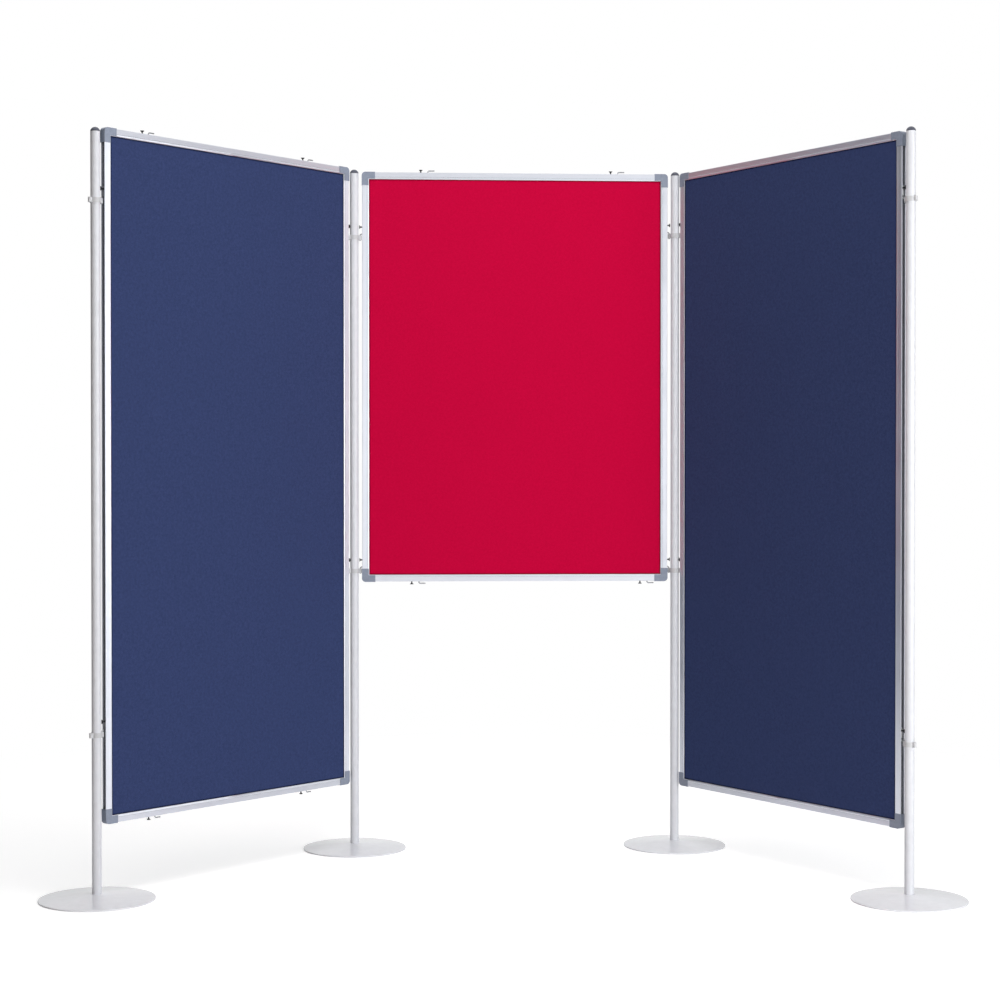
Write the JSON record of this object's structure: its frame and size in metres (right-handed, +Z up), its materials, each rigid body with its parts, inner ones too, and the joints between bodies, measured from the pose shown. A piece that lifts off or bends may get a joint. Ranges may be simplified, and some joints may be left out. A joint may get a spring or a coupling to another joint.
{
  "type": "folding display wall",
  "caption": "Free-standing folding display wall: tall felt wings hooked to a shorter felt panel in aluminium frames, on round posts with flat round base plates.",
  "frame": {"origin": "on the floor, under the middle of the whole wall as it stands in the picture", "axes": "+X along the centre panel to the viewer's right, +Y away from the viewer, +Z up"},
  "size_m": [2.392, 1.1084, 2.0015],
  "materials": {
    "frame": "satin anodised extrusion",
    "corner_plastic": "moulded, blue-grey, smooth",
    "board": "plain fibreboard, hidden under the felt",
    "blue_felt": "needled felt, dark blue",
    "red_felt": "needled felt, crimson red",
    "dark_stud": "blackened steel",
    "bright_wire": "bright zinc plated",
    "plain_steel": "zinc plated",
    "post_coat": "semi-gloss light grey powder coat",
    "cap_plastic": "moulded, dark grey",
    "plug_plastic": "moulded, black",
    "clip_plastic": "moulded, light grey, slightly glossy"
  },
  "bodies": {
    "left_panel": {"left_top_rail": "frame", "left_bottom_rail": "frame", "left_left_stile": "frame", "left_right_stile": "frame", "left_corner_caps": "corner_plastic", "left_core_board": "board", "left_front_felt": "blue_felt", "left_back_felt": "blue_felt", "left_coupling_studs": "dark_stud", "left_coupling_hooks": "bright_wire", "left_coupling_plates": "plain_steel"},
    "centre_panel": {"centre_top_rail": "frame", "centre_bottom_rail": "frame", "centre_left_stile": "frame", "centre_right_stile": "frame", "centre_corner_caps": "corner_plastic", "centre_core_board": "board", "centre_front_felt": "red_felt", "centre_back_felt": "red_felt", "centre_coupling_studs": "dark_stud", "centre_coupling_hooks": "bright_wire", "centre_coupling_plates": "plain_steel"},
    "right_panel": {"right_top_rail": "frame", "right_bottom_rail": "frame", "right_left_stile": "frame", "right_right_stile": "frame", "right_corner_caps": "corner_plastic", "right_core_board": "board", "right_front_felt": "blue_felt", "right_back_felt": "blue_felt", "right_coupling_studs": "dark_stud", "right_coupling_hooks": "bright_wire", "right_coupling_plates": "plain_steel"},
    "outer_left_post": {"outer_left_post_tube": "post_coat", "outer_left_post_cap": "cap_plastic", "outer_left_foot_plug": "plug_plastic", "outer_left_base_plate": "post_coat", "outer_left_base_screw": "plain_steel", "outer_left_post_clips": "clip_plastic"},
    "inner_left_post": {"inner_left_post_tube": "post_coat", "inner_left_post_cap": "cap_plastic", "inner_left_foot_plug": "plug_plastic", "inner_left_base_plate": "post_coat", "inner_left_base_screw": "plain_steel", "inner_left_post_clips": "clip_plastic"},
    "inner_right_post": {"inner_right_post_tube": "post_coat", "inner_right_post_cap": "cap_plastic", "inner_right_foot_plug": "plug_plastic", "inner_right_base_plate": "post_coat", "inner_right_base_screw": "plain_steel", "inner_right_post_clips": "clip_plastic"},
    "outer_right_post": {"outer_right_post_tube": "post_coat", "outer_right_post_cap": "cap_plastic", "outer_right_foot_plug": "plug_plastic", "outer_right_base_plate": "post_coat", "outer_right_base_screw": "plain_steel", "outer_right_post_clips": "clip_plastic"}
  },
  "joints": [
    {"name": "inner_left_post_fold", "type": "hinge", "parent": "centre_panel", "child": "inner_left_post", "pos_m": [-0.37746, 0.41159, 0], "axis": [0, 0, 1], "range_deg": [-73.5, 26.5]},
    {"name": "left_wing_fold", "type": "hinge", "parent": "inner_left_post", "child": "left_panel", "pos_m": [-0.41139, 0.39684, 0], "axis": [0, 0, 1], "range_deg": [-73.5, 26.5]},
    {"name": "outer_left_post_fold", "type": "hinge", "parent": "left_panel", "child": "outer_left_post", "pos_m": [-1.03337, -0.27015, 0], "axis": [0, 0, 1], "range_deg": [-50, 50]},
    {"name": "inner_right_post_fold", "type": "hinge", "parent": "centre_panel", "child": "inner_right_post", "pos_m": [0.53454, 0.41159, 0], "axis": [0, 0, -1], "range_deg": [-79.5, 20.5]},
    {"name": "right_wing_fold", "type": "hinge", "parent": "inner_right_post", "child": "right_panel", "pos_m": [0.56675, 0.39338, 0], "axis": [0, 0, -1], "range_deg": [-79.5, 20.5]},
    {"name": "outer_right_post_fold", "type": "hinge", "parent": "right_panel", "child": "outer_right_post", "pos_m": [1.03646, -0.38836, 0], "axis": [0, 0, -1], "range_deg": [-50, 50]}
  ]
}
